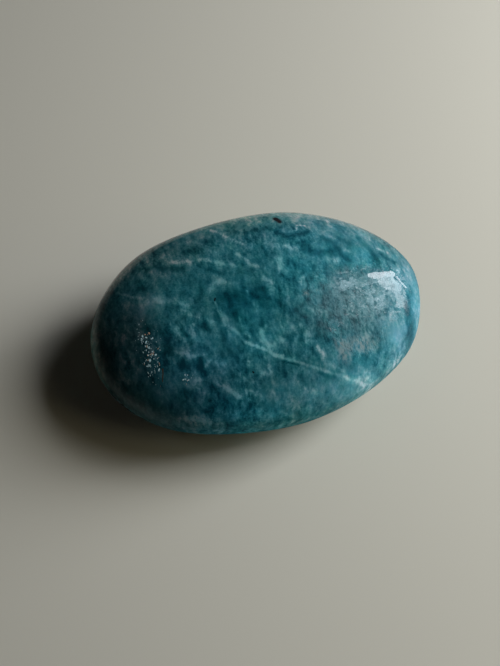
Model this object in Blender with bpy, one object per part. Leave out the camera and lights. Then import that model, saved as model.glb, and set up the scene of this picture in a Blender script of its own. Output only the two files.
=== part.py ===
# Amazonite stone.
#
# A tumbled and polished pebble of blue-green feldspar, one natural piece. It is egg-shaped in plan and lower than it
# is wide. The crest of its dome lies towards the back, so the top slopes gently to the front. Tumbling wore its
# sides, its top and its underside into a few broad soft flats, and it rests on the flat underneath.
#
# X runs along the stone, Y across it and Z up. The origin is on the surface that the stone rests on, at the middle
# of the stone's box. All sizes are in metres and all angles in degrees.

from collections import namedtuple
from math import cos, pi, radians, sin, sqrt, tan

import bmesh
import bpy
from mathutils import Vector

# Driving dimensions: the full size of the worn stone.
LENGTH = 0.0330
WIDTH = 0.0213
HEIGHT = 0.0130

# Fullness of the outline seen from above, and of the outline seen from a side: 2 is an ellipse, more is squarer.
PLAN_FULLNESS = 2.02
PROFILE_FULLNESS = 2.35

# The egg: the share by which the stone narrows towards its right end, and widens towards its left.
TAPER = 0.058

# How far the crest of the dome is moved towards the back.
CREST_SHIFT = 0.0025

# A flat faces AZIMUTH, counted from +X towards +Y, and ELEVATION, up from level. WORN is what it takes off the
# highest point that faces that way. BLEND is how softly it runs into the curve around it. Where it has worn more
# than BLEND off the egg, it is truly flat.
Flat = namedtuple("Flat", "azimuth elevation worn blend")
FLATS = {
    "front side": Flat(260, -10, 0.00025, 0.0015),
    "front corner of the right end": Flat(345, -5, 0.00072, 0.0020),
    "back side": Flat(96.5, 15, 0.00056, 0.0015),
    "back corner of the left end": Flat(141, 10, 0.00006, 0.0015),
    "top": Flat(255, 85, 0.00035, 0.0006),
    "resting spot": Flat(0, -90, 0.00035, 0.00015),
}

# Squares along each edge of the cube that the pebble is rounded from.
SQUARES = 22

# Linear colour and gloss of the polished stone.
TEAL = (0.035, 0.150, 0.170, 1.0)
POLISH_ROUGHNESS = 0.22
FELDSPAR_IOR = 1.53


def clear_scene():
    for old in list(bpy.data.objects):
        bpy.data.objects.remove(old)


def facing(flat):
    """The unit vector that a flat faces."""
    level = cos(radians(flat.elevation))
    return Vector((level * cos(radians(flat.azimuth)),
                   level * sin(radians(flat.azimuth)),
                   sin(radians(flat.elevation))))


def even_squares(point):
    """Spread the cube's squares so that they come out about equal on the ball."""
    return Vector([tan(component * pi / 4) for component in point])


def egg_point(direction):
    """Where the unworn egg's surface lies in a direction from its middle."""
    plan = abs(direction.x) ** PLAN_FULLNESS + abs(direction.y) ** PLAN_FULLNESS
    reach = (plan ** (PROFILE_FULLNESS / PLAN_FULLNESS)
             + abs(direction.z) ** PROFILE_FULLNESS) ** (1 / PROFILE_FULLNESS)
    unit = direction / reach
    width_here = 1 - TAPER * unit.x
    to_back = CREST_SHIFT * max(unit.z, 0) ** 2
    return Vector((unit.x * LENGTH / 2, unit.y * width_here * WIDTH / 2 + to_back, unit.z * HEIGHT / 2))


def worn_depth(beyond, blend):
    """How deep a point is worn, from how far it stands beyond the flat's plane."""
    if beyond <= -blend:
        return 0.0
    if beyond >= blend:
        return beyond
    return (beyond + blend) ** 2 / (4 * blend)


def plane_depth(flat):
    """How far the flat's plane lies below the highest point, for the flat to take WORN off that point."""
    if flat.worn >= flat.blend:
        return flat.worn
    return 2 * sqrt(flat.blend * flat.worn) - flat.blend


def wear_flat(verts, flat):
    normal = facing(flat)
    plane = max(vert.co.dot(normal) for vert in verts) - plane_depth(flat)
    for vert in verts:
        beyond = vert.co.dot(normal) - plane
        vert.co -= normal * worn_depth(beyond, flat.blend)


def fit_to_size(verts):
    """Bring the worn pebble to its full size, standing on Z = 0 and centred in X and Y."""
    low = Vector([min(vert.co[axis] for vert in verts) for axis in range(3)])
    high = Vector([max(vert.co[axis] for vert in verts) for axis in range(3)])
    middle = (low + high) / 2
    size = high - low
    for vert in verts:
        from_middle = vert.co - middle
        vert.co = Vector((from_middle.x * LENGTH / size.x,
                          from_middle.y * WIDTH / size.y,
                          (vert.co.z - low.z) * HEIGHT / size.z))


def stone_material():
    material = bpy.data.materials.new("polished_amazonite")
    material.use_nodes = True
    material.diffuse_color = TEAL
    shader = material.node_tree.nodes["Principled BSDF"]
    shader.inputs["Base Color"].default_value = TEAL
    shader.inputs["Metallic"].default_value = 0.0
    shader.inputs["Roughness"].default_value = POLISH_ROUGHNESS
    shader.inputs["IOR"].default_value = FELDSPAR_IOR
    return material


def make_stone():
    mesh = bpy.data.meshes.new("amazonite_stone")
    pebble = bmesh.new()
    bmesh.ops.create_cube(pebble, size=2)
    bmesh.ops.subdivide_edges(pebble, edges=pebble.edges[:], cuts=SQUARES - 1, use_grid_fill=True)
    for vert in pebble.verts:
        vert.co = egg_point(even_squares(vert.co))
    for flat in FLATS.values():
        wear_flat(pebble.verts, flat)
    fit_to_size(pebble.verts)
    bmesh.ops.triangulate(pebble, faces=pebble.faces[:])
    bmesh.ops.recalc_face_normals(pebble, faces=pebble.faces[:])
    pebble.to_mesh(mesh)
    pebble.free()
    mesh.shade_smooth()
    mesh.materials.append(stone_material())
    stone = bpy.data.objects.new("amazonite_stone", mesh)
    bpy.context.scene.collection.objects.link(stone)
    return stone


def main():
    clear_scene()
    stone = make_stone()
    print(stone.name, "has", len(stone.data.polygons), "triangles")


main()
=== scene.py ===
# %% [markdown]
# # A polished amazonite pebble
#
# The object is one tumbled stone, about as long as a thumb joint. It has no parts to put together, so this lesson is
# about two things: making one smooth natural form with small real faults, and building a mineral's pattern out of
# procedural textures.
#
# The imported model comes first. It is the frame that everything here has to fit.

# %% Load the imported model
from math import atan, degrees, pi, radians

import bmesh
import bpy
import numpy as np
from mathutils import Euler, Matrix, Vector, noise


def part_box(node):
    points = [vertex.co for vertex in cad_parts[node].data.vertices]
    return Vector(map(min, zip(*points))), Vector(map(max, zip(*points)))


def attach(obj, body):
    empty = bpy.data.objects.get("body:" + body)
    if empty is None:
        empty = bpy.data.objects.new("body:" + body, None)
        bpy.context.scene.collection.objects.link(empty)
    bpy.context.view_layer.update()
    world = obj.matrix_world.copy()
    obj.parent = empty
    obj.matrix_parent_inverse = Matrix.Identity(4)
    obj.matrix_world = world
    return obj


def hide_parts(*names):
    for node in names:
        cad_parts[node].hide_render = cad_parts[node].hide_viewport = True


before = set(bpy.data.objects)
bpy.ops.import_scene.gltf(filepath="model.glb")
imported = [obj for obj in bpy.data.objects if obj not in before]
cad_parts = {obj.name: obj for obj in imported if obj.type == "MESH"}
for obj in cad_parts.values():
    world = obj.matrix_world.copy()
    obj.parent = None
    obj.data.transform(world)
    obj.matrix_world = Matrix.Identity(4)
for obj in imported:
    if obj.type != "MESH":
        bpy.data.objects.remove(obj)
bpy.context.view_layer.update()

MM = 0.001
low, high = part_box("amazonite_stone")
size = np.array(high - low)
print("the stone measures", (size / MM).round(2), "mm")

# %% [markdown]
# ## The form of the pebble
#
# A tumbled stone starts as a broken lump. Hours of rolling in grit round it to an egg and wear a few broad, soft flats
# into it. A sphere pulled to size would be too regular, and sculpting can't be repeated from a few numbers. So the
# form follows the same rule as the solid model: a cube of small squares is blown up to an egg, the crest of its dome is
# moved towards the back, and each flat takes off what stands beyond a plane, with a soft edge.
#
# A cube is a better start than a globe with poles, because its squares stay nearly even all over, and no fan of thin
# triangles spoils the gloss at the two ends.

# %% The cube of small squares
SQUARES = 128


def cube_of_squares(squares):
    mesh = bpy.data.meshes.new("polished_pebble")
    cube = bmesh.new()
    bmesh.ops.create_cube(cube, size=2)
    bmesh.ops.subdivide_edges(cube, edges=cube.edges[:], cuts=squares - 1, use_grid_fill=True)
    cube.to_mesh(mesh)
    cube.free()
    return mesh


def read_points(mesh):
    flat_list = np.empty(3 * len(mesh.vertices), dtype=np.float32)
    mesh.vertices.foreach_get("co", flat_list)
    return flat_list.reshape(-1, 3).astype(float)


def write_points(mesh, points):
    mesh.vertices.foreach_set("co", points.astype(np.float32).ravel())
    mesh.update()


stone_mesh = cube_of_squares(SQUARES)
print("the cube has", len(stone_mesh.polygons), "squares")

# %% The egg
PLAN_FULLNESS = 2.02
PROFILE_FULLNESS = 2.35
TAPER = 0.058
CREST_SHIFT = 2.5 * MM


def egg(cube_points):
    """Blow the cube up to the unworn egg."""
    even = np.tan(cube_points * pi / 4)
    plan = abs(even[:, 0]) ** PLAN_FULLNESS + abs(even[:, 1]) ** PLAN_FULLNESS
    reach = (plan ** (PROFILE_FULLNESS / PLAN_FULLNESS) + abs(even[:, 2]) ** PROFILE_FULLNESS) ** (1 / PROFILE_FULLNESS)
    unit = even / reach[:, None]
    points = unit * size / 2
    points[:, 1] *= 1 - TAPER * unit[:, 0]
    points[:, 1] += CREST_SHIFT * np.maximum(unit[:, 2], 0) ** 2
    return points


points = egg(read_points(stone_mesh))
print("the egg reaches", (np.ptp(points, axis=0) / MM).round(2), "mm")

# %% The worn flats
# Each flat: the way it faces (azimuth from +X, elevation), how much it takes off, and how soft its edge is.
FLATS = {
    "front side": (260, -10, 0.25 * MM, 1.5 * MM),
    "front corner of the right end": (345, -5, 0.72 * MM, 2.0 * MM),
    "back side": (96.5, 15, 0.56 * MM, 1.5 * MM),
    "back corner of the left end": (141, 10, 0.06 * MM, 1.5 * MM),
    "top": (255, 85, 0.35 * MM, 0.6 * MM),
    "resting spot": (0, -90, 0.35 * MM, 0.15 * MM),
}


def facing(azimuth, elevation):
    level = np.cos(radians(elevation))
    return np.array([level * np.cos(radians(azimuth)), level * np.sin(radians(azimuth)), np.sin(radians(elevation))])


def wear_flat(points, azimuth, elevation, worn, blend):
    normal = facing(azimuth, elevation)
    depth = worn if worn >= blend else 2 * np.sqrt(blend * worn) - blend
    along = points @ normal
    beyond = along - (along.max() - depth)
    soft = np.clip(beyond + blend, 0, None) ** 2 / (4 * blend)
    taken_off = np.where(beyond >= blend, beyond, soft)
    return points - taken_off[:, None] * normal


def fit_to_box(points):
    span = np.ptp(points, axis=0)
    return (points - points.min(axis=0)) * size / span + np.array(low)


for name, flat in FLATS.items():
    points = wear_flat(points, *flat)
    print("wore the", name)

# %% The hollow that the polish didn't reach
# Its edge, seen from above in millimetres. The edge at its right is sharp, and the others run out.
HOLLOW_EDGE = [(2.6, -0.9), (4.2, 1.0), (6.6, 2.2), (9.3, 1.9), (11.8, 1.6), (13.6, 0.4), (14.3, -1.6), (14.0, -3.2),
               (12.6, -4.4), (10.6, -4.9), (9.6, -5.8), (8.2, -7.2), (6.4, -7.4), (5.0, -6.0), (3.6, -3.6)]
EDGE_SOFTNESS = 1.3
HOLLOW_DEPTH = 0.05 * MM
HOLLOW_ROUGHNESS = 0.035 * MM


def inside_outline(plan, outline, softness):
    """0 outside a closed outline, and 1 from its softness inward on."""
    nearest = np.full(len(plan), np.inf)
    crossings = np.zeros(len(plan), dtype=int)
    corners = np.array(outline)
    for start, end in zip(corners, np.roll(corners, -1, axis=0)):
        whole = end - start
        share = np.clip((plan - start) @ whole / (whole @ whole), 0, 1)
        nearest = np.minimum(nearest, np.linalg.norm(plan - start - share[:, None] * whole, axis=1))
        spans = (start[1] > plan[:, 1]) != (end[1] > plan[:, 1])
        meets = start[0] + (plan[:, 1] - start[1]) * whole[0] / whole[1]
        crossings += spans & (plan[:, 0] < meets)
    return np.where(crossings % 2 == 1, np.clip(nearest / softness, 0, 1), 0)


def turbulent(points_in_mm, cell):
    return np.array([noise.turbulence(Vector(point) / cell, 3, False) for point in points_in_mm])


hollow_level = inside_outline(points[:, :2] / MM, HOLLOW_EDGE, EDGE_SOFTNESS)
hollow_level *= points[:, 2] > 0
inside = np.flatnonzero(hollow_level)
roughness = turbulent(points[inside] / MM, cell=0.9)
points[inside, 2] -= hollow_level[inside] * (HOLLOW_DEPTH + HOLLOW_ROUGHNESS * roughness)
print(len(inside), "points lie in the hollow")

# %% Fit the pebble to its box
points = fit_to_box(points)
write_points(stone_mesh, points)
print("the worn pebble spans", (np.ptp(points, axis=0) / MM).round(2), "mm")

# %% The object, and what it stands for
stone = bpy.data.objects.new("polished_pebble", stone_mesh)
bpy.context.scene.collection.objects.link(stone)
stone_mesh.shade_smooth()
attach(stone, "root")
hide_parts("amazonite_stone")
print(stone.name, "has", 2 * len(stone_mesh.polygons), "triangles")

# %% [markdown]
# ## Marks of this one stone
#
# Some clouds and streaks are large enough to know this stone by. Each is a soft stroke through a few places on its
# upper face. Sixty of them as nodes would be more than one shader can hold, so they are worked out here, once for each
# point of the mesh, and kept as an attribute that the material reads.

# %% The single marks
# Half width in millimetres, strength, then the places that the mark runs through, seen from above.
PALE_MARKS = [
    # the long wisps of the left half
    (0.20, 0.32, (-8.4, 0.4), (-7.4, -0.4), (-6.5, -1.1), (-5.5, -1.6)),
    (0.34, 0.42, (-5.5, -1.7), (-5.4, -2.5), (-5.3, -3.2)),
    (0.18, 0.48, (-7.2, -1.4), (-7.4, -2.2), (-7.3, -2.8)),
    (0.26, 0.40, (-8.9, -3.7), (-8.1, -4.1), (-6.9, -4.4)),
    (0.28, 0.32, (-6.6, -4.9), (-7.0, -5.3)),
    (0.22, 0.34, (-6.1, -5.1), (-5.4, -5.6)),
    # the feathers over the vein
    (0.22, 0.38, (-4.8, 0.0), (-4.7, -0.8)),
    (0.36, 0.48, (-4.7, -0.9), (-4.5, -1.7), (-4.4, -2.3)),
    (0.22, 0.42, (-4.4, -2.3), (-3.8, -2.8)),
    (0.20, 0.38, (-4.3, -2.9), (-4.4, -3.9)),
    (0.18, 0.42, (-1.8, 0.6), (-1.6, -0.6), (-1.4, -1.6)),
    (0.24, 0.36, (-3.1, -1.8), (-3.0, -2.6), (-2.8, -3.3)),
    (0.36, 0.44, (-2.8, -3.4), (-2.6, -3.8)),
    (0.18, 0.35, (-3.0, -4.0), (-2.1, -4.8), (-1.5, -5.2)),
    (0.36, 0.46, (-1.5, -3.3), (-1.4, -4.1), (-1.1, -4.9)),
    (0.26, 0.48, (-1.1, -4.9), (-0.8, -5.7), (-0.1, -6.0)),
    (0.30, 0.30, (-0.9, -3.0), (-1.0, -3.1)),
    (0.55, 0.28, (-9.9, 1.6), (-8.6, 1.2), (-7.6, 0.6), (-7.2, -0.3)),
    (0.30, 0.30, (-8.7, -1.6), (-8.5, -2.5), (-8.2, -2.9)),
    # the front of the left half
    (0.26, 0.34, (-3.3, -5.8), (-3.3, -6.3)),
    (0.26, 0.30, (-1.5, -6.9), (-1.5, -7.2)),
    (0.30, 0.28, (-3.9, -8.1), (-3.7, -8.6)),
    (0.35, 0.42, (-6.1, -6.9), (-5.3, -7.6), (-4.5, -8.3)),
    (0.30, 0.35, (-4.2, -6.6), (-3.8, -7.1)),
    (0.40, 0.35, (-3.7, -8.1), (-2.6, -8.7)),
    (0.40, 0.35, (-1.6, -8.6), (-1.2, -9.4)),
    (0.25, 0.35, (-8.2, -6.1), (-7.4, -6.3)),
    (0.35, 0.25, (-2.2, -6.9), (-1.3, -7.4)),
    (0.40, 0.35, (-9.9, -8.4), (-8.5, -8.9), (-7.4, -9.3), (-6.4, -9.8)),
    # the back of the left half
    (0.45, 0.38, (-5.2, 1.2), (-4.5, 1.8), (-3.8, 2.0), (-3.1, 1.6)),
    (0.20, 0.42, (-3.5, 7.9), (-2.8, 7.2), (-2.3, 6.5), (-1.6, 5.9), (-0.9, 5.4)),
    (0.50, 0.30, (-0.8, 5.4), (-0.2, 4.8)),
    (0.28, 0.35, (-8.3, 5.2), (-6.9, 4.8), (-6.0, 4.5)),
    (0.32, 0.40, (-5.3, 4.6), (-4.4, 4.2), (-3.8, 3.8)),
    (0.28, 0.38, (-3.7, 3.8), (-2.7, 3.4), (-2.0, 3.3)),
    (0.32, 0.42, (-1.7, 4.3), (-1.2, 3.7), (-0.9, 3.1), (-0.2, 2.7)),
    (0.18, 0.35, (-13.2, 3.8), (-12.4, 3.2), (-11.5, 2.5), (-10.9, 2.2)),
    (0.90, 0.22, (-11.3, 1.7), (-9.8, 1.3)),
    (0.35, 0.25, (-6.9, 7.3), (-5.9, 6.9)),
    # the middle and the front of the right half
    (0.40, 0.35, (1.9, 3.1), (1.7, 2.1)),
    (0.38, 0.34, (-0.1, 1.6), (0.7, 0.8)),
    (0.32, 0.32, (0.5, -3.2), (0.5, -3.5)),
    (0.34, 0.32, (1.4, -3.5), (1.4, -3.9)),
    (0.30, 0.28, (2.1, -3.6), (2.2, -3.9)),
    (0.40, 0.34, (2.6, -4.4), (2.2, -5.2)),
    (0.30, 0.28, (0.1, -4.3), (0.2, -4.6)),
    (0.30, 0.26, (0.9, -5.4), (1.0, -5.7)),
    (0.36, 0.50, (3.3, -5.8), (3.6, -6.6)),
    (0.30, 0.32, (4.2, -7.3), (4.2, -7.6)),
    (0.30, 0.36, (5.2, -7.9), (5.7, -8.6)),
    (0.80, 0.38, (7.2, -8.2), (8.1, -8.9)),
    (0.35, 0.30, (3.3, 0.3), (3.9, 1.2)),
    (0.35, 0.25, (1.2, -7.1), (1.7, -7.6)),
    (0.35, 0.25, (1.6, -8.9), (2.4, -9.2)),
    (0.50, 0.20, (3.4, -2.4), (4.9, -2.9)),
    (0.45, 0.25, (7.0, -5.9), (8.2, -5.6)),
    # the back of the right half
    (0.40, 0.30, (2.2, 4.6), (3.9, 3.8)),
    (0.16, 0.70, (4.3, 5.8), (4.8, 6.4), (5.4, 6.3)),
    (0.30, 0.30, (6.0, 5.1), (5.9, 3.9)),
    (0.40, 0.32, (7.1, 4.8), (7.9, 4.4)),
    (0.45, 0.35, (8.1, 7.0), (8.1, 6.0)),
    (0.60, 0.30, (6.3, 2.2), (7.4, 1.9)),
    (0.35, 0.40, (8.5, 2.9), (8.9, 2.7)),
    (0.80, 0.28, (10.2, 5.4), (11.7, 4.4)),
    (0.35, 0.30, (12.0, 3.0), (13.0, 2.5)),
    # the rim of the right end
    (0.60, 0.30, (5.8, -8.6), (8.4, -9.0)),
    (0.50, 0.20, (10.6, -7.8), (11.9, -7.1)),
    (0.60, 0.25, (14.4, 0.4), (14.9, -2.0)),
]
DEEP_MARKS = [
    # the left half
    (0.35, 0.36, (-7.3, -4.4), (-7.2, -5.2)),
    (0.60, 0.35, (-9.7, -2.3), (-10.0, -3.2)),
    (0.30, 0.34, (-5.4, -4.5), (-5.1, -5.1)),
    (0.50, 0.30, (-4.6, -4.5), (-4.2, -5.3)),
    (0.35, 0.32, (-6.2, -1.8), (-5.9, -2.5)),
    (0.30, 0.30, (-4.9, -2.6), (-4.8, -3.5)),
    (0.30, 0.32, (-3.5, -1.4), (-3.4, -2.0)),
    (0.30, 0.32, (-2.3, -3.2), (-2.1, -4.0)),
    (0.35, 0.34, (-1.1, -2.3), (-1.2, -3.0)),
    (0.30, 0.36, (-1.4, 0.2), (-1.1, -0.3)),
    (0.45, 0.32, (-3.7, 0.8), (-3.6, -0.5)),
    (1.40, 0.25, (-3.9, 0.3), (-2.5, -0.1)),
    (0.80, 0.22, (-4.0, -1.0), (-3.1, -1.5)),
    (0.70, 0.28, (-1.0, 0.4), (-0.5, -1.3)),
    (0.70, 0.35, (-9.0, -4.7), (-7.6, -5.0)),
    (0.40, 0.35, (-7.5, -5.3), (-7.1, -5.9)),
    (0.60, 0.35, (-9.3, -6.6), (-8.4, -7.3)),
    (0.35, 0.25, (-5.9, -7.9), (-5.7, -8.5)),
    (0.40, 0.32, (-4.6, 3.4), (-3.4, 2.6)),
    (0.50, 0.28, (-9.8, 5.2), (-8.6, 4.7)),
    (0.55, 0.28, (-8.3, 4.4), (-7.0, 4.1)),
    (0.80, 0.18, (-6.8, 2.6), (-5.8, 2.2)),
    (0.40, 0.30, (-6.4, 5.7), (-5.5, 5.8)),
    (0.40, 0.25, (-4.7, 6.6), (-3.9, 6.4)),
    (0.60, 0.22, (-11.2, 3.2), (-10.2, 3.0)),
    (0.25, 0.30, (-6.9, -1.6), (-6.3, -2.2)),
    (0.25, 0.30, (-8.2, -1.7), (-7.9, -2.4)),
    # the middle and the front of the right half
    (0.50, 0.34, (-0.4, 0.5), (-0.1, -0.5)),
    (0.20, 0.42, (-0.1, -6.3), (0.5, -6.6), (1.1, -6.9)),
    (0.20, 0.36, (2.8, -7.8), (4.3, -8.4)),
    (0.35, 0.34, (2.0, -3.9), (2.0, -5.0)),
    (0.28, 0.32, (0.9, -4.4), (1.0, -4.9)),
    (0.40, 0.34, (2.7, -5.8), (3.1, -6.6)),
    (0.20, 0.40, (4.9, -7.4), (5.1, -7.7)),
    (0.30, 0.32, (4.8, -5.2), (5.2, -6.1)),
    (0.35, 0.30, (-0.3, -7.2), (-0.1, -7.9)),
    (0.40, 0.28, (1.1, -7.8), (1.5, -8.5)),
    (0.35, 0.30, (1.6, 1.4), (2.2, 0.9)),
    (0.45, 0.25, (2.8, 2.7), (3.5, 2.0)),
    (0.50, 0.25, (0.3, -0.5), (0.8, -1.4)),
    (0.50, 0.22, (2.0, -2.2), (2.7, -3.0)),
    (0.22, 0.35, (4.85, 1.8), (4.8, 0.8)),
    (0.30, 0.30, (5.1, 0.0), (5.3, -0.4)),
    (0.60, 0.25, (4.0, -3.8), (4.6, -4.4)),
    (0.40, 0.30, (6.6, -3.3), (7.2, -3.9)),
    (0.80, 0.20, (6.0, -7.7), (8.5, -7.3)),
    # the back of the right half
    (0.60, 0.25, (0.4, 6.6), (1.9, 6.6)),
    (0.45, 0.30, (2.6, 5.9), (3.4, 5.3), (4.6, 5.3), (5.6, 5.5)),
    (0.55, 0.32, (4.6, 4.3), (4.7, 3.4), (5.8, 3.1), (7.2, 3.0)),
    (0.50, 0.38, (6.8, 4.7), (7.5, 3.8), (8.1, 2.4), (8.6, 1.6)),
    (0.45, 0.28, (8.5, 4.3), (9.3, 3.6)),
    (0.55, 0.32, (10.4, 4.3), (11.1, 3.3), (11.4, 1.8)),
    (0.45, 0.30, (12.2, 2.2), (13.4, 1.4)),
    # the rim of the right end
    (0.85, 0.42, (13.3, -3.0), (13.6, -4.4), (13.2, -6.0)),
    (0.30, 0.25, (13.6, -1.4), (13.9, -2.7)),
    (0.20, 0.30, (12.0, -6.3), (13.0, -5.3)),
]


def stroke_mask(plan, path, half_width):
    """1 on the path and 0 from its half width on, going smoothly between them."""
    nearest = np.full(len(plan), np.inf)
    for start, end in zip(np.array(path), np.array(path[1:])):
        whole = end - start
        share = np.clip((plan - start) @ whole / (whole @ whole), 0, 1)
        nearest = np.minimum(nearest, np.linalg.norm(plan - start - share[:, None] * whole, axis=1))
    level = np.clip(1 - nearest / half_width, 0, 1)
    return level * level * (3 - 2 * level)


def uneven(points_in_mm, cell, reach):
    """Shift each place a little, so that no mark has an even edge."""
    shift = [noise.noise_vector(Vector(point) / cell) for point in points_in_mm]
    return points_in_mm + reach * np.array(shift)


MARK_STRENGTH = 1.45
# Unseeded, this noise starts from the clock, and every run would give the marks other edges.
MARK_SEED = 11
noise.seed_set(MARK_SEED)


def add_marks(mesh, points):
    in_mm = uneven(points / MM, cell=0.7, reach=0.18)
    level = np.zeros(len(points))
    for marks, sign in ((PALE_MARKS, 1), (DEEP_MARKS, -1)):
        for half_width, strength, *path in marks:
            level += MARK_STRENGTH * sign * strength * stroke_mask(in_mm[:, :2], path, half_width)
    level *= np.clip((in_mm[:, 2] - 1.5) / 3, 0, 1)
    attribute = mesh.attributes.new("mark_paleness", "FLOAT", "POINT")
    attribute.data.foreach_set("value", level.astype(np.float32))
    return level


def keep_attribute(mesh, name, values):
    attribute = mesh.attributes.new(name, "FLOAT", "POINT")
    attribute.data.foreach_set("value", values.astype(np.float32))


marks_level = add_marks(stone_mesh, points)
keep_attribute(stone_mesh, "hollow", hollow_level)
print(len(PALE_MARKS), "pale and", len(DEEP_MARKS), "deep marks, from", marks_level.min().round(2), "to", marks_level.max().round(2))

# %% [markdown]
# ## Helpers for the mineral's pattern
#
# Amazonite is a feldspar. Its teal body is crossed by thin pale sheets of a second feldspar, which parted from it as
# the rock cooled. On a polished face they show as short soft streaks and clouds. A picture could hold such a pattern,
# but it would smear over the edges and end at the photographed side. Solid textures run through the stone instead, as
# the mineral does, so each face shows its own cut through them.
#
# The trees get long, so two helpers add a node and link it in one line.

# %% Node helpers
def put(tree, kind, inputs=None, **settings):
    """Add a node. An input that is given as a socket is linked, and anything else becomes its value."""
    node = tree.nodes.new(kind)
    for name, value in settings.items():
        setattr(node, name, value)
    for name, value in (inputs or {}).items():
        if isinstance(value, bpy.types.NodeSocket):
            tree.links.new(value, node.inputs[name])
        else:
            node.inputs[name].default_value = value
    return node


def calc(tree, operation, *values, clamp=False):
    return put(tree, "ShaderNodeMath", dict(enumerate(values)), operation=operation, use_clamp=clamp).outputs[0]


def vector_calc(tree, operation, *values, output=0):
    return put(tree, "ShaderNodeVectorMath", dict(enumerate(values)), operation=operation).outputs[output]


def times(tree, vector, factor):
    return put(tree, "ShaderNodeVectorMath", {0: vector, "Scale": factor}, operation="SCALE").outputs[0]


def swing(tree, value, gain, level=0.0):
    """Stretch a noise that varies about 0.5 so that it varies about another level."""
    return calc(tree, "MULTIPLY_ADD", value, gain, level - 0.5 * gain)


def fade(tree, value, start, end, at_start=0.0, at_end=1.0):
    """Go smoothly from one level to another while a value runs from start to end."""
    return put(tree, "ShaderNodeMapRange",
               {"Value": value, "From Min": start, "From Max": end, "To Min": at_start, "To Max": at_end},
               interpolation_type="SMOOTHSTEP").outputs["Result"]


def cloud_noise(tree, point, scale, detail=2.0, roughness=0.5, distortion=0.0, output="Fac"):
    return put(tree, "ShaderNodeTexNoise",
               {"Vector": point, "Scale": scale, "Detail": detail, "Roughness": roughness,
                "Distortion": distortion}).outputs[output]


def blend_colour(tree, share, colour_a, colour_b):
    """Mix two colours. The colour sockets of a Mix node are numbers 6 and 7, and its colour output is number 2."""
    return put(tree, "ShaderNodeMix", {0: share, 6: colour_a, 7: colour_b}, data_type="RGBA").outputs[2]


def turned(tree, point, degrees_about_z, squeeze):
    """Turn a place about the upright axis, then squeeze the pattern there along each axis."""
    return put(tree, "ShaderNodeMapping", {"Vector": point, "Rotation": (0, 0, radians(degrees_about_z)),
                                           "Scale": squeeze}, vector_type="POINT").outputs[0]

# %% A soft stroke, as a node group
def build_stroke_group():
    """A soft stroke from Start to End. Mask is 1 on its middle line and 0 at its half width."""
    group = bpy.data.node_groups.new("soft_stroke", "ShaderNodeTree")
    for name, kind in {"Point": "NodeSocketVector", "Start": "NodeSocketVector", "End": "NodeSocketVector",
                       "Half Width": "NodeSocketFloat"}.items():
        group.interface.new_socket(name, in_out="INPUT", socket_type=kind)
    group.interface.new_socket("Mask", in_out="OUTPUT", socket_type="NodeSocketFloat")
    given = group.nodes.new("NodeGroupInput")
    from_start = vector_calc(group, "SUBTRACT", given.outputs["Point"], given.outputs["Start"])
    whole = vector_calc(group, "SUBTRACT", given.outputs["End"], given.outputs["Start"])
    along = vector_calc(group, "DOT_PRODUCT", from_start, whole, output="Value")
    squared = vector_calc(group, "DOT_PRODUCT", whole, whole, output="Value")
    share = calc(group, "DIVIDE", along, squared, clamp=True)
    aside = vector_calc(group, "DISTANCE", from_start, times(group, whole, share), output="Value")
    mask = fade(group, aside, 0.0, given.outputs["Half Width"], at_start=1.0, at_end=0.0)
    put(group, "NodeGroupOutput", {"Mask": mask})
    return group


stroke_group = build_stroke_group()


def stroke(tree, point, path, half_width):
    """Where a mark lies: 1 along the path and 0 from its half width on. Places are in plan, in millimetres."""
    mask = None
    for start, end in zip(path, path[1:]):
        piece = put(tree, "ShaderNodeGroup", node_tree=stroke_group)
        tree.links.new(point, piece.inputs["Point"])
        piece.inputs["Start"].default_value = (*start, 0)
        piece.inputs["End"].default_value = (*end, 0)
        piece.inputs["Half Width"].default_value = half_width
        found = piece.outputs["Mask"]
        mask = found if mask is None else calc(tree, "MAXIMUM", mask, found)
    return mask


# %% A soft patch, as a node group
def build_patch_group():
    """A soft oval patch. Mask is 1 at its centre and 0 from its reach on."""
    group = bpy.data.node_groups.new("soft_patch", "ShaderNodeTree")
    for name in ("Point", "Centre", "Reach"):
        group.interface.new_socket(name, in_out="INPUT", socket_type="NodeSocketVector")
    group.interface.new_socket("Mask", in_out="OUTPUT", socket_type="NodeSocketFloat")
    given = group.nodes.new("NodeGroupInput")
    aside = vector_calc(group, "SUBTRACT", given.outputs["Point"], given.outputs["Centre"])
    in_reaches = vector_calc(group, "DIVIDE", aside, given.outputs["Reach"])
    reach = vector_calc(group, "LENGTH", in_reaches, output="Value")
    put(group, "NodeGroupOutput", {"Mask": fade(group, reach, 0.0, 1.0, at_start=1.0, at_end=0.0)})
    return group


patch_group = build_patch_group()


def patch(tree, point, centre, reach):
    piece = put(tree, "ShaderNodeGroup", node_tree=patch_group)
    tree.links.new(point, piece.inputs["Point"])
    piece.inputs["Centre"].default_value = (*centre, 0)
    piece.inputs["Reach"].default_value = (*reach, 1)
    return piece.outputs["Mask"]


# %% [markdown]
# ## The pattern of the pale sheets

# %% Start the material
stone_finish = bpy.data.materials.new("polished_amazonite")
stone_finish.use_nodes = True
stone_mesh.materials.append(stone_finish)
tree = stone_finish.node_tree
shader = tree.nodes["Principled BSDF"]

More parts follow.
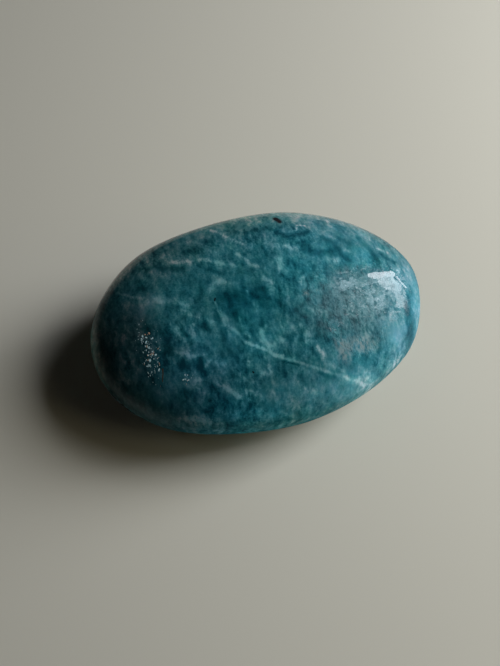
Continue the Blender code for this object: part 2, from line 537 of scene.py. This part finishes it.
# %% Places in the stone, in millimetres
place = times(tree, put(tree, "ShaderNodeTexCoord").outputs["Object"], 1 / MM)
axes = put(tree, "ShaderNodeSeparateXYZ", {0: place})
along_stone, across_stone, height = (axes.outputs[axis] for axis in "XYZ")
wobble = vector_calc(tree, "SUBTRACT", cloud_noise(tree, place, 1.3, detail=3.0, output="Color"), (0.5, 0.5, 0.5))
uneven_place = vector_calc(tree, "ADD", place, times(tree, wobble, 0.9))
in_plan = vector_calc(tree, "MULTIPLY", uneven_place, (1, 1, 0))
on_top = fade(tree, height, 1.5, 4.5)

# %% The pale sheets
# They stand upright. They cross the front of the stone squarely, and lean to the left at its back.
FRONT_TURN = 18
BACK_TURN = 60
MOTTLE_SQUEEZE = (1.5, 0.70, 0.70)
GRAIN_SQUEEZE = (1.0, 0.60, 0.60)
CLOUD_SQUEEZE = (1.0, 0.70, 0.70)
barely_uneven = vector_calc(tree, "ADD", place, times(tree, wobble, 0.35))
towards_back = fade(tree, across_stone, -1.0, 6.0)


def crossing(scale, squeeze, detail, roughness, distortion):
    """A noise that is stretched along the sheets, in their front and their back direction."""
    front = cloud_noise(tree, turned(tree, barely_uneven, FRONT_TURN, squeeze), scale, detail, roughness, distortion)
    back = cloud_noise(tree, turned(tree, barely_uneven, BACK_TURN, squeeze), scale, detail, roughness, distortion)
    return put(tree, "ShaderNodeMix", {0: towards_back, 2: front, 3: back}, data_type="FLOAT").outputs[0]


mottles = crossing(1.0, MOTTLE_SQUEEZE, 2.5, 0.55, 0.15)
grain = crossing(3.2, GRAIN_SQUEEZE, 2.0, 0.65, 0.0)
clouds = crossing(0.40, CLOUD_SQUEEZE, 1.5, 0.5, 0.0)
paleness = calc(tree, "ADD", swing(tree, mottles, 1.65, 0.46), swing(tree, grain, 1.2))
paleness = calc(tree, "ADD", paleness, swing(tree, clouds, 0.9))
fine_grain = cloud_noise(tree, turned(tree, place, 30, (0.8, 1.2, 1.0)), 6.0, detail=1.0, roughness=0.6)
paleness = calc(tree, "ADD", paleness, swing(tree, fine_grain, 0.45))

# %% The single marks join the pattern
mark_paleness = put(tree, "ShaderNodeAttribute", attribute_name="mark_paleness").outputs["Fac"]
mottled_mark = calc(tree, "MULTIPLY", mark_paleness, calc(tree, "ADD", swing(tree, grain, 1.6, 0.9), swing(tree, mottles, 0.8)))
paleness = calc(tree, "ADD", paleness, mottled_mark)

# %% The main vein
VEIN_PATH = [(-3.8, -2.8), (-3.1, -4.1), (-2.2, -4.7), (-1.4, -5.2), (-0.8, -5.8), (0.0, -6.2), (2.4, -7.3),
             (4.8, -8.25), (5.8, -8.6), (7.5, -9.1)]
slight_place = vector_calc(tree, "MULTIPLY", vector_calc(tree, "ADD", place, times(tree, wobble, 0.25)), (1, 1, 0))
vein = stroke(tree, slight_place, VEIN_PATH, 0.24)
paleness = calc(tree, "MULTIPLY_ADD", calc(tree, "MULTIPLY", vein, on_top), 0.55, paleness)

# %% Calmer parts
# Towards the right end and the far back the pattern is milky, with less between its light and its dark.
CALM_PARTS = {
    "right end": ((15.5, -2.5), (6.0, 9.0), 0.55),
    "back": ((6.5, 9.5), (10.0, 5.5), 0.50),
    "back of the hollow": ((9.0, 4.0), (6.0, 5.0), 0.50),
    "beside the hollow": ((11.3, -5.4), (2.6, 2.4), 0.80),
    "front": ((5.5, -9.0), (10.0, 5.0), 0.60),
    "back of the left half": ((-3.5, 8.6), (7.0, 3.2), 0.45),
    "left of the middle": ((-10.4, 0.8), (2.8, 2.6), 0.45),
    "front of the left half": ((-12.0, -7.2), (5.0, 4.5), 0.50),
    "front of the middle": ((-1.7, -8.8), (2.6, 2.4), 0.45),
    "before the middle": ((-5.0, -4.0), (2.6, 2.4), 0.30),
    "back of the left part": ((-6.8, 7.4), (3.0, 2.2), 0.40),
    "left rim": ((-16.0, -1.5), (3.0, 8.0), 0.50),
    "middle": ((-2.5, -2.2), (7.5, 5.5), 0.30),
}
for centre, reach, strength in CALM_PARTS.values():
    contrast = calc(tree, "MULTIPLY_ADD", patch(tree, in_plan, centre, reach), -strength, 1.0)
    paleness = calc(tree, "MULTIPLY_ADD", calc(tree, "SUBTRACT", paleness, 0.5), contrast, 0.5)

# %% Colours
ramp = put(tree, "ShaderNodeValToRGB", {"Fac": calc(tree, "DIVIDE", paleness, 1.3)})
PALEST = 1.3
COLOURS = [(0.00, (0.003, 0.045, 0.062)), (0.25, (0.009, 0.092, 0.115)), (0.50, (0.024, 0.150, 0.178)),
           (0.75, (0.062, 0.222, 0.252)), (1.00, (0.135, 0.325, 0.355)), (PALEST, (0.200, 0.400, 0.430))]
stops = ramp.color_ramp.elements
while len(stops) < len(COLOURS):
    stops.new(0.5)
for stop, (level, colour) in zip(stops, COLOURS):
    stop.position = level / PALEST
    stop.color = (*colour, 1)
stone_colour = ramp.outputs["Color"]

# %% Drifting hue
# Some places are a little redder or greener than their paleness says.
red_drift = swing(tree, cloud_noise(tree, place, 0.9, detail=3.0, roughness=0.7), 1.3, 1.0)
blue_drift = swing(tree, cloud_noise(tree, turned(tree, place, 90, (1, 1, 1)), 0.8, detail=3.0, roughness=0.7), 0.3, 1.0)
drift = put(tree, "ShaderNodeCombineXYZ", {"X": red_drift, "Y": 1.0, "Z": blue_drift}).outputs[0]
stone_colour = vector_calc(tree, "MULTIPLY", stone_colour, drift)

# %% Parts of another tone, and painted light and shade
# Centre and reach in plan in millimetres, and what the patch does to the red, green and blue at its centre.
TONES_AND_PAINTED_LIGHT = {
    "milky right end": ((15.0, -3.5), (6.5, 7.5), (4.4, 2.4, 2.5)),
    "milky front of the right end": ((9.5, -8.5), (7.5, 3.6), (3.0, 2.2, 2.2)),
    "pale blue beside the hollow": ((11.0, -5.6), (2.6, 2.4), (2.7, 1.85, 1.85)),
    # painted shade: the left end, turned away from the window, is darkened here
    "left end": ((-16.5, -1.5), (7.5, 9.0), (0.80, 0.24, 0.22)),
    # painted rim light: the thin edge of the left end is painted much paler here
    "rim of the left end": ((-17.2, -2.5), (1.9, 9.0), (11.0, 11.0, 9.0)),
    "less red middle": ((-2.0, -1.5), (9.5, 9.0), (0.70, 1.0, 1.0)),
    "back of the left part": ((-7.7, 3.5), (2.6, 2.2), (0.85, 0.84, 0.84)),
    "beside the back of the left part": ((-10.4, 0.9), (1.9, 1.9), (1.60, 1.40, 1.40)),
    "left of the front": ((-3.8, -8.3), (1.7, 1.5), (1.60, 1.35, 1.30)),
    "front of the right half": ((3.3, -6.2), (1.8, 1.6), (1.60, 1.30, 1.30)),
    "front of the front": ((2.7, -9.4), (2.4, 1.4), (1.40, 1.15, 1.15)),
    # painted rim light: the thin front edge is painted paler here
    "rim spot in front": ((2.4, -10.9), (2.6, 1.1), (1.50, 1.50, 1.50)),
    "pale spot beside the rim": ((0.3, -10.0), (1.6, 1.2), (0.80, 0.75, 0.75)),
    "dark spot in front": ((-1.2, -9.8), (1.8, 1.6), (0.50, 0.68, 0.72)),
    "pale spot in front": ((-4.5, -9.8), (2.4, 1.0), (2.05, 1.70, 1.65)),
    "dark rim in front": ((-3.0, -10.7), (2.2, 0.8), (0.55, 0.62, 0.65)),
    "pale back of the left end": ((-10.1, 6.5), (1.8, 1.3), (1.70, 1.50, 1.45)),
    "dark back of the left end": ((-8.9, 4.9), (1.7, 1.2), (0.60, 0.75, 0.78)),
    "edge of the left end": ((-15.1, 1.4), (1.8, 2.2), (2.00, 1.60, 1.50)),
    "dark spot before the left part": ((-5.1, -4.6), (1.8, 1.6), (0.65, 0.80, 0.80)),
    "dark spot beside the pits": ((-9.2, -3.2), (1.8, 1.6), (0.55, 0.62, 0.62)),
    "front corner of the left end": ((-13.5, -6.0), (2.6, 2.4), (1.30, 1.05, 1.02)),
    "front of the left end": ((-12.0, -6.8), (6.0, 4.5), (0.95, 0.72, 0.70)),
    "pitted place": ((-11.8, -2.4), (2.6, 4.4), (0.60, 0.55, 0.55)),
    "upper side of the right end": ((12.5, 2.6), (4.5, 5.0), (1.5, 1.40, 1.40)),
    "green back": ((6.5, 5.6), (8.0, 5.6), (1.9, 1.70, 1.75)),
    # painted rim sheen: towards the back rim the colour is painted paler and greyer
    "far back": ((1.0, 10.5), (13.0, 4.6), (2.7, 2.3, 1.95)),
    "middle of the back": ((4.0, 1.0), (5.0, 4.0), (1.7, 1.65, 1.65)),
    # painted rim sheen: towards the back rim the colour is painted paler and greyer
    "grey back of the left end": ((-9.0, 6.0), (7.0, 4.0), (1.9, 1.05, 0.95)),
    # painted rim light: the thin front edge is painted paler here
    "front rim": ((2.5, -10.2), (8.5, 3.4), (2.1, 1.75, 1.75)),
    "dark front of the left": ((-5.5, -9.5), (6.0, 3.0), (0.55, 1.0, 0.95)),
    # painted rim light: the thin front edge is painted paler here
    "rim in front of the middle": ((-2.0, -10.8), (4.5, 2.0), (2.3, 2.2, 2.1)),
    # painted rim light: the thin front edge is painted paler here
    "front rim of the right half": ((7.5, -10.2), (5.0, 2.3), (1.7, 1.5, 1.5)),
    "dark left part": ((-11.8, 0.8), (4.2, 4.5), (0.90, 0.68, 0.68)),
    "front of the left part": ((-9.6, -8.3), (3.6, 2.2), (0.92, 0.86, 0.86)),
    "dark spot in front of the left part": ((-6.5, -7.2), (2.4, 2.4), (0.75, 0.75, 0.75)),
    "before the hollow": ((5.0, -5.2), (1.8, 2.6), (1.4, 1.35, 1.35)),
    "blue front of the right half": ((6.2, -6.4), (3.6, 2.2), (1.50, 1.30, 1.35)),
    "greyer front": ((0.5, -8.3), (6.5, 2.6), (1.35, 1.05, 1.05)),
    # painted rim light: the thin front edge is painted paler here
    "front rim of the left part": ((-11.0, -9.6), (6.5, 2.2), (2.0, 1.35, 1.25)),
    "front of the middle": ((-2.2, -4.2), (2.6, 3.8), (1.30, 1.28, 1.28)),
    "upper edge of the hollow": ((9.7, 1.8), (3.2, 2.0), (1.62, 1.58, 1.58)),
    "left of the middle": ((-5.2, 0.0), (3.8, 4.5), (0.80, 0.80, 0.80)),
    "deep middle": ((-2.2, -0.5), (4.0, 3.0), (0.55, 0.85, 0.90)),
    "bluer front": ((-8.5, -6.0), (8.0, 6.5), (1.0, 1.0, 1.14)),
    "bluer front rim": ((-6.2, -10.2), (7.0, 3.6), (1.0, 1.0, 1.24)),
}

# %% Each tone multiplies the colour
for centre, reach, gain in TONES_AND_PAINTED_LIGHT.values():
    where = patch(tree, in_plan, centre, reach)
    gain_here = put(tree, "ShaderNodeMix", {0: where, 4: (1, 1, 1), 5: gain}, data_type="VECTOR").outputs[1]
    stone_colour = vector_calc(tree, "MULTIPLY", stone_colour, gain_here)

# %% The painted rim sheen
# Painted sheen: seen aslant, the stone's edge shines paler, and at the back it shines greyer too; this shine is painted
# into the colour.
RIM_CENTRE = (-0.3, -0.8, 0)
RIM_REACH = (16.2, 9.7, 1)
from_rim_centre = vector_calc(tree, "SUBTRACT", in_plan, RIM_CENTRE)
edge = vector_calc(tree, "LENGTH", vector_calc(tree, "DIVIDE", from_rim_centre, RIM_REACH), output="Value")
painted_sheen_place = calc(tree, "MULTIPLY", fade(tree, across_stone, -2.0, 3.0), fade(tree, along_stone, -7.0, -0.5, at_start=0.1))
painted_sheen_place = calc(tree, "MULTIPLY", painted_sheen_place, fade(tree, along_stone, 5.0, 11.0, at_start=1.0, at_end=0.4))
painted_sheen_place = calc(tree, "MULTIPLY", painted_sheen_place, fade(tree, height, 8.0, 11.0))
PAINTED_RIM_SHEEN = {
    "greyer": (0.60, 1.00, (2.40, 1.00, 0.91)),
    "paler": (0.86, 0.96, (1.05, 1.05, 1.05)),
}
# the painted rim sheen multiplies the colour
for start, end, gain in PAINTED_RIM_SHEEN.values():
    where = calc(tree, "MULTIPLY", fade(tree, edge, start, end), painted_sheen_place)
    gain_here = put(tree, "ShaderNodeMix", {0: where, 4: (1, 1, 1), 5: gain}, data_type="VECTOR").outputs[1]
    stone_colour = vector_calc(tree, "MULTIPLY", stone_colour, gain_here)

# %% The grey veil: scratches and painted sheen
# Fine scratches in the unpolished part look grey, and the window's dull sheen on that part is painted in with them; the
# bright veil is painted sheen alone. A few spots there are of a pinkish feldspar.
SCRATCH_AND_SHEEN_GREY = (0.190, 0.350, 0.385, 1)
PINKISH = (0.270, 0.340, 0.340, 1)
# scratches and painted sheen: the grey veil over the unpolished part
veil = calc(tree, "MULTIPLY", patch(tree, in_plan, (7.8, -2.4), (7.0, 4.8)), fade(tree, grain, 0.30, 0.70, 0.20, 0.80))
stone_colour = blend_colour(tree, veil, stone_colour, SCRATCH_AND_SHEEN_GREY)
blotches = cloud_noise(tree, turned(tree, place, -35, (0.8, 1.3, 1.0)), 1.3, detail=4.0, roughness=0.62)
# painted sheen: the window's dull reflection in the unpolished hollow, as a bright blue-grey veil
painted_bright_sheen = calc(tree, "MAXIMUM", patch(tree, in_plan, (10.6, -1.9), (3.6, 3.0)), patch(tree, in_plan, (7.4, -0.4), (2.4, 1.8)))
painted_bright_sheen = calc(tree, "MULTIPLY", painted_bright_sheen, fade(tree, blotches, 0.46, 0.54, 0.10, 1.0))
painted_bright_sheen = calc(tree, "MULTIPLY", painted_bright_sheen, fade(tree, fine_grain, 0.30, 0.62, 0.55, 1.0))
stone_colour = blend_colour(tree, painted_bright_sheen, stone_colour, (0.32, 0.52, 0.58, 1))
PINKISH_SPOTS = [((3.5, -0.7), (0.6, 0.5)), ((7.6, -6.0), (2.2, 1.2)), ((5.6, -6.3), (1.2, 1.8))]
for centre, reach in PINKISH_SPOTS:
    share = calc(tree, "MULTIPLY", patch(tree, in_plan, centre, reach), fade(tree, grain, 0.35, 0.65, 0.1, 0.8))
    stone_colour = blend_colour(tree, share, stone_colour, PINKISH)

# %% Small faults
# Half width in millimetres, colour, then the places that the fault runs through.
FAULTS = {
    "dark lens": (0.44, (0.022, 0.020, 0.024), (3.00, 7.80), (3.20, 7.35)),
    "brown hairline": (0.07, (0.062, 0.045, 0.025), (-10.62, -4.5), (-10.70, -4.9), (-10.85, -5.4)),
    "upper speck": (0.12, (0.006, 0.014, 0.018), (-4.75, 0.45), (-4.85, 0.25)),
    "lower speck": (0.11, (0.006, 0.014, 0.018), (-3.02, -6.65), (-2.98, -6.72)),
}
for half_width, colour, *path in FAULTS.values():
    where = calc(tree, "MULTIPLY", stroke(tree, slight_place, path, half_width), on_top)
    stone_colour = blend_colour(tree, calc(tree, "MINIMUM", calc(tree, "MULTIPLY", where, 1.6), 1.0), stone_colour, (*colour, 1))

# %% Painted glint flecks
# Tiny unpolished pits near the left end catch the light, and each glint is painted into the colour as a white fleck, of
# its own size.
FLECKS_PER_MM = 4.6
PAINTED_GLINT_COLOUR = (0.66, 0.95, 1.00, 1)
WARM_PAINTED_GLINT_COLOUR = (0.95, 0.62, 0.40, 1)
stretched_place = vector_calc(tree, "MULTIPLY", uneven_place, (1.5, 0.9, 1.0))
flecks = put(tree, "ShaderNodeTexVoronoi", {"Vector": stretched_place, "Scale": FLECKS_PER_MM})
fleck_chance, fleck_level, fleck_hue = put(tree, "ShaderNodeSeparateColor", {0: flecks.outputs["Color"]}).outputs
pits = patch(tree, in_plan, (-11.45, -2.8), (1.5, 3.9))
few_pits = patch(tree, in_plan, (-8.7, -5.9), (1.0, 0.6))
pitted = calc(tree, "MAXIMUM", pits, few_pits)
fleck_reach = fade(tree, calc(tree, "MULTIPLY_ADD", pitted, 0.75, fleck_chance), 0.70, 1.45, 0.0, 0.58)
painted_glints = fade(tree, calc(tree, "SUBTRACT", fleck_reach, flecks.outputs["Distance"]), 0.0, 0.22)
painted_glints = calc(tree, "MULTIPLY", calc(tree, "MULTIPLY", painted_glints, on_top), fade(tree, pitted, 0.0, 0.15))
painted_glints = calc(tree, "MULTIPLY", painted_glints, fade(tree, fleck_level, 0.0, 0.6, at_start=0.55))
painted_glint_colour = blend_colour(tree, fade(tree, fleck_hue, 0.80, 0.85), PAINTED_GLINT_COLOUR, WARM_PAINTED_GLINT_COLOUR)
# the painted glint flecks go into the colour
stone_colour = blend_colour(tree, painted_glints, stone_colour, painted_glint_colour)
tree.links.new(stone_colour, shader.inputs["Base Color"])

# %% Gloss
# The crown has the best polish. The sides are duller, and the hollow near the right end was never polished at all.
crown = patch(tree, in_plan, (0.0, -1.0), (17.5, 9.5))
polish = fade(tree, crown, 0.02, 0.22)
pit_noise = cloud_noise(tree, place, 5.0, detail=2.0, roughness=0.65)
hollow_attribute = put(tree, "ShaderNodeAttribute", attribute_name="hollow").outputs["Fac"]
hollow = fade(tree, calc(tree, "ADD", hollow_attribute, swing(tree, pit_noise, 0.9)), 0.15, 0.45)
sparkle_noise = cloud_noise(tree, turned(tree, place, -35, (0.7, 1.6, 1.0)), 4.0, detail=2.0, roughness=0.6)
sparkle = fade(tree, sparkle_noise, 0.50, 0.72)
polish = calc(tree, "MULTIPLY", polish, fade(tree, pits, 0.05, 0.30, at_start=1.0, at_end=0.0))
back_polish = fade(tree, across_stone, 2.0, 6.0, at_start=0.05, at_end=0.95)
side_polish = calc(tree, "MAXIMUM", back_polish, fade(tree, along_stone, 2.0, 9.0, at_start=0.05, at_end=0.30))
side_polish = calc(tree, "MAXIMUM", side_polish, fade(tree, height, 1.0, 3.0, at_start=0.6, at_end=0.0))
polish = calc(tree, "MAXIMUM", polish, calc(tree, "MULTIPLY", side_polish, fade(tree, crown, 0.0, 0.3, 1.0, 0.0)))
left_rim = calc(tree, "MULTIPLY", fade(tree, edge, 0.93, 0.99), fade(tree, along_stone, -9.0, -14.0))
polish = calc(tree, "MAXIMUM", polish, calc(tree, "MULTIPLY", left_rim, 0.40))
coat = calc(tree, "MULTIPLY", polish, calc(tree, "SUBTRACT", 1.0, hollow))
coat = calc(tree, "MULTIPLY_ADD", calc(tree, "MULTIPLY", hollow, sparkle), 0.35, coat)

# %% The polished lip of the hollow
# Half width in millimetres, how well polished, how ragged, then its path. All of them catch the window.
POLISHED_LIPS = {
    "bright ridge": (0.55, 1.00, 0.35, (10.2, 0.0), (11.4, 0.05), (12.7, 0.15)),
    "worn lip": (1.20, 0.50, 0.80, (11.6, -0.8), (12.4, -1.0), (12.9, -1.7), (12.9, -2.6), (12.5, -3.6)),
    "brighter part of the lip": (0.90, 0.62, 0.70, (11.2, -0.5), (12.3, -0.6), (12.9, -1.2)),
    "thin streak": (0.24, 0.80, 0.20, (13.1, -0.2), (13.8, -1.2)),
}
for half_width, amount, raggedness, *path in POLISHED_LIPS.values():
    ragged = calc(tree, "ADD", stroke(tree, slight_place, path, half_width), swing(tree, sparkle_noise, raggedness))
    lip = calc(tree, "MULTIPLY", fade(tree, ragged, 0.25, 0.60), amount)
    coat = calc(tree, "MAXIMUM", coat, lip)
tree.links.new(coat, shader.inputs["Coat Weight"])
shader.inputs["Coat Roughness"].default_value = 0.09
shader.inputs["Coat IOR"].default_value = 1.53
tree.links.new(calc(tree, "MULTIPLY_ADD", hollow, 0.10, 0.34), shader.inputs["Roughness"])
pit_height = calc(tree, "MULTIPLY", pit_noise, calc(tree, "MULTIPLY_ADD", hollow, 1.6, 0.08))
bump = put(tree, "ShaderNodeBump", {"Height": pit_height, "Distance": 0.03 * MM, "Strength": 1.0})
tree.links.new(bump.outputs["Normal"], shader.inputs["Normal"])
shader.inputs["IOR"].default_value = 1.53
shader.inputs["Specular IOR Level"].default_value = 0.0

# %% [markdown]
# ## The floor

# %% The floor
FLOOR_HALF_WIDTH = 0.5
FLOOR_COLOUR = (0.645, 0.625, 0.535, 1)


def make_floor():
    mesh = bpy.data.meshes.new("floor")
    sheet = bmesh.new()
    bmesh.ops.create_grid(sheet, x_segments=1, y_segments=1, size=FLOOR_HALF_WIDTH)
    sheet.to_mesh(mesh)
    sheet.free()
    finish = bpy.data.materials.new("pale_matt_floor")
    finish.use_nodes = True
    shader = finish.node_tree.nodes["Principled BSDF"]
    shader.inputs["Base Color"].default_value = FLOOR_COLOUR
    shader.inputs["Roughness"].default_value = 0.9
    shader.inputs["Specular IOR Level"].default_value = 0.2
    mesh.materials.append(finish)
    floor = bpy.data.objects.new("floor", mesh)
    bpy.context.scene.collection.objects.link(floor)
    return floor


floor = make_floor()
print("the floor is", 2 * FLOOR_HALF_WIDTH, "m wide")

# %% [markdown]
# ## Light

# %% Lights
LIT_POINT = Vector((0, 0, 6 * MM))


def soft_box(name, azimuth, elevation, distance, width, height, brightness, colour=(1, 1, 1)):
    """A rectangle of light that faces the stone. Brightness is its radiance, so its size doesn't change its look."""
    toward = Vector(facing(azimuth, elevation))
    lamp = bpy.data.lights.new(name, "AREA")
    lamp.shape = "RECTANGLE"
    lamp.size = width
    lamp.size_y = height
    lamp.color = colour
    lamp.energy = brightness * width * height * pi
    holder = bpy.data.objects.new(name, lamp)
    holder.location = LIT_POINT + toward * distance
    holder.rotation_euler = toward.to_track_quat("Z", "Y").to_euler()
    bpy.context.scene.collection.objects.link(holder)
    return holder


soft_box("window", 5, 38, 0.20, 0.0904, 0.1535, 9.1, (0.975, 1.0, 1.05))
soft_box("window_sill", 2, 13.5, 0.20, 0.085, 0.018, 3.0)
pale_wall = soft_box("pale_wall", -28, 38, 0.20, 0.0786, 0.1535, 1.05, (1.0, 0.90, 0.62))
pale_wall.visible_glossy = False
soft_box("far_window", 165, 53, 0.60, 0.03, 0.03, 10.0)

world = bpy.data.worlds.new("dim_room")
world.use_nodes = True
world.node_tree.nodes["Background"].inputs["Color"].default_value = (1.0, 0.75, 0.45, 1)
world.node_tree.nodes["Background"].inputs["Strength"].default_value = 0.004
bpy.context.scene.world = world

# %% [markdown]
# ## The camera

# %% The camera
CAMERA_PLACE = Vector((-13.95, -27.39, 67.20)) * MM
CAMERA_AIM = Vector((0.05, 1.97, 0.0)) * MM
CAMERA_ROLL = 0.0
IMAGE_HEIGHT = 666
FOCAL_LENGTH_IN_PIXELS = 689.5
SENSOR = 36.0

lens = bpy.data.cameras.new("camera")
lens.sensor_width = SENSOR
lens.lens = FOCAL_LENGTH_IN_PIXELS / IMAGE_HEIGHT * SENSOR
lens.clip_start = 3 * MM
camera = bpy.data.objects.new("camera", lens)
camera.location = CAMERA_PLACE
back = (CAMERA_PLACE - CAMERA_AIM).normalized()
right = Vector((0.9629, -0.2548, 0.0892))
up = back.cross(right).normalized()
right = up.cross(back).normalized()
camera.matrix_world = Matrix((
    (right.x, up.x, back.x, CAMERA_PLACE.x),
    (right.y, up.y, back.y, CAMERA_PLACE.y),
    (right.z, up.z, back.z, CAMERA_PLACE.z),
    (0, 0, 0, 1)))
bpy.context.scene.collection.objects.link(camera)
bpy.context.scene.camera = camera
bpy.context.scene.view_settings.view_transform = "Standard"
